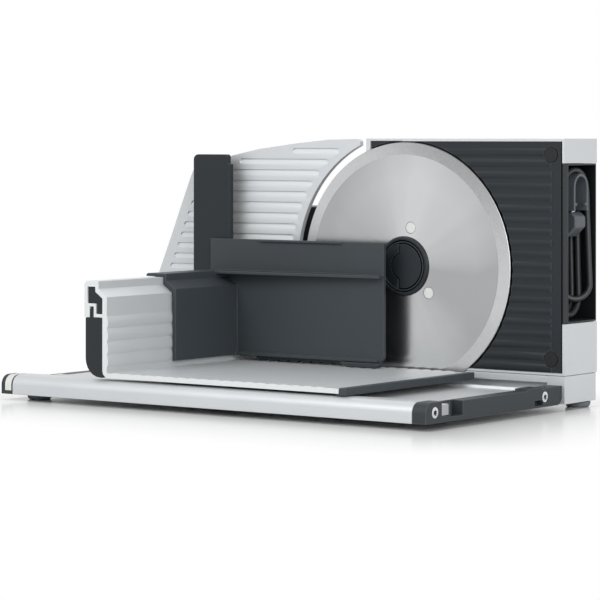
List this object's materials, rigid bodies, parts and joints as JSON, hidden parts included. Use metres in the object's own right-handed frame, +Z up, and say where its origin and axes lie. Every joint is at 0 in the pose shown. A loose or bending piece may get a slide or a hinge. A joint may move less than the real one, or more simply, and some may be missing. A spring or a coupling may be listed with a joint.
{
  "type": "food slicer",
  "caption": "Electric food slicer with an upright round blade, a sliding food carriage with pusher, a movable stop plate and a cord compartment in its side",
  "frame": {"origin": "middle of the footprint at the level of the table, under the feet", "axes": "+X along the base towards the blade housing's cord side, the way the carriage slides; +Y from the user's side to the back, the way food is fed; +Z up"},
  "size_m": [0.362, 0.2354, 0.1842],
  "materials": {
    "light_metal": "satin silver anodised extrusion",
    "blade_steel": "turned and polished blade steel",
    "dark_plastic": "fine-grained anthracite moulding",
    "black_plastic": "smooth near-black moulding",
    "pale_plastic": "smooth off-white moulding",
    "pale_nylon": "smooth natural nylon",
    "bright_steel": "bright plated steel",
    "rubber": "dull black rubber",
    "cord_skin": "smooth grey flexible plastic",
    "motor_steel": "plain zinc-coated metal"
  },
  "bodies": {
    "base": {"base_extrusion": "light_metal", "base_left_cap": "dark_plastic", "left_cap_inlay": "pale_plastic", "base_right_cap": "dark_plastic", "cap_screw_front": "bright_steel", "cap_screw_back": "bright_steel", "foot_front_left": "rubber", "foot_front_right": "rubber", "foot_back_left": "rubber", "foot_back_right": "rubber", "housing_plinth": "light_metal", "housing_shell": "light_metal", "front_panel": "dark_plastic", "panel_screw_cap_low": "dark_plastic", "panel_screw_cap_high": "dark_plastic", "back_cover": "dark_plastic", "cord_compartment": "black_plastic", "cord_horn_upper": "dark_plastic", "cord_horn_lower": "dark_plastic", "cord_gland": "black_plastic", "cord_hank": "cord_skin", "plug_body": "cord_skin", "plug_tail": "cord_skin", "plug_pin_1": "bright_steel", "plug_pin_2": "bright_steel", "bearing_plate": "motor_steel", "back_bearing": "motor_steel", "motor_bracket": "motor_steel", "motor": "motor_steel", "mechanism_case": "dark_plastic"},
    "carriage": {"carriage_extrusion": "light_metal", "carriage_head_core": "dark_plastic", "carriage_grip": "dark_plastic", "carriage_edge_strip": "dark_plastic", "glide_front_left": "pale_nylon", "glide_front_right": "pale_nylon", "glide_back_left": "pale_nylon", "glide_back_right": "pale_nylon"},
    "pusher": {"pusher_body": "dark_plastic", "pusher_guard_post": "dark_plastic", "pusher_comb": "dark_plastic", "pusher_toe": "dark_plastic"},
    "stop": {"stop_plate": "light_metal", "stop_plate_carrier": "dark_plastic", "guide_rod_low": "bright_steel", "guide_rod_high": "bright_steel"},
    "blade_unit": {"blade": "blade_steel", "drive_disc": "pale_nylon", "hub_ring": "dark_plastic", "blade_spindle": "bright_steel", "worm_wheel": "pale_nylon"},
    "lock": {"hub_lock": "dark_plastic"},
    "worm": {"worm_shaft": "bright_steel"},
    "knob": {"thickness_knob": "dark_plastic"},
    "button": {"switch_button": "dark_plastic"},
    "latch": {"safety_latch": "dark_plastic"}
  },
  "joints": [
    {"name": "carriage_slide", "type": "slide", "parent": "base", "child": "carriage", "axis": [1, 0, 0], "range_m": [-0.09, 0.11]},
    {"name": "pusher_slide", "type": "slide", "parent": "carriage", "child": "pusher", "axis": [0, 1, 0], "range_m": [-0.1, 0.004]},
    {"name": "thickness_turn", "type": "hinge", "parent": "base", "child": "knob", "pos_m": [-0.119, 0.09425, 0.066], "axis": [-1, 0, 0], "range_deg": [0, 300]},
    {"name": "stop_plate_slide", "type": "slide", "parent": "base", "child": "stop", "axis": [0, 1, 0], "range_m": [0, 0.02]},
    {"name": "blade_spin", "type": "hinge", "parent": "base", "child": "blade_unit", "pos_m": [0.0514, 0.04525, 0.0946], "axis": [0, 1, 0], "continuous": true},
    {"name": "worm_spin", "type": "hinge", "parent": "base", "child": "worm", "pos_m": [0.0777, 0.07025, 0.1], "axis": [0, 0, 1], "continuous": true},
    {"name": "blade_lock_turn", "type": "hinge", "parent": "blade_unit", "child": "lock", "pos_m": [0.0514, 0.04525, 0.0946], "axis": [0, 1, 0], "range_deg": [0, 90]},
    {"name": "switch_press", "type": "slide", "parent": "base", "child": "button", "axis": [1, 0, 0], "range_m": [0, 0.003], "stiffness_N_per_m": 300},
    {"name": "safety_latch_slide", "type": "slide", "parent": "base", "child": "latch", "axis": [1, 0, 0], "range_m": [0, 0.005]}
  ],
  "couplings": [
    {"joint": "thickness_turn", "follows": "stop_plate_slide", "rad_per_m": 261.79},
    {"joint": "worm_spin", "follows": "blade_spin", "ratio": 30}
  ]
}
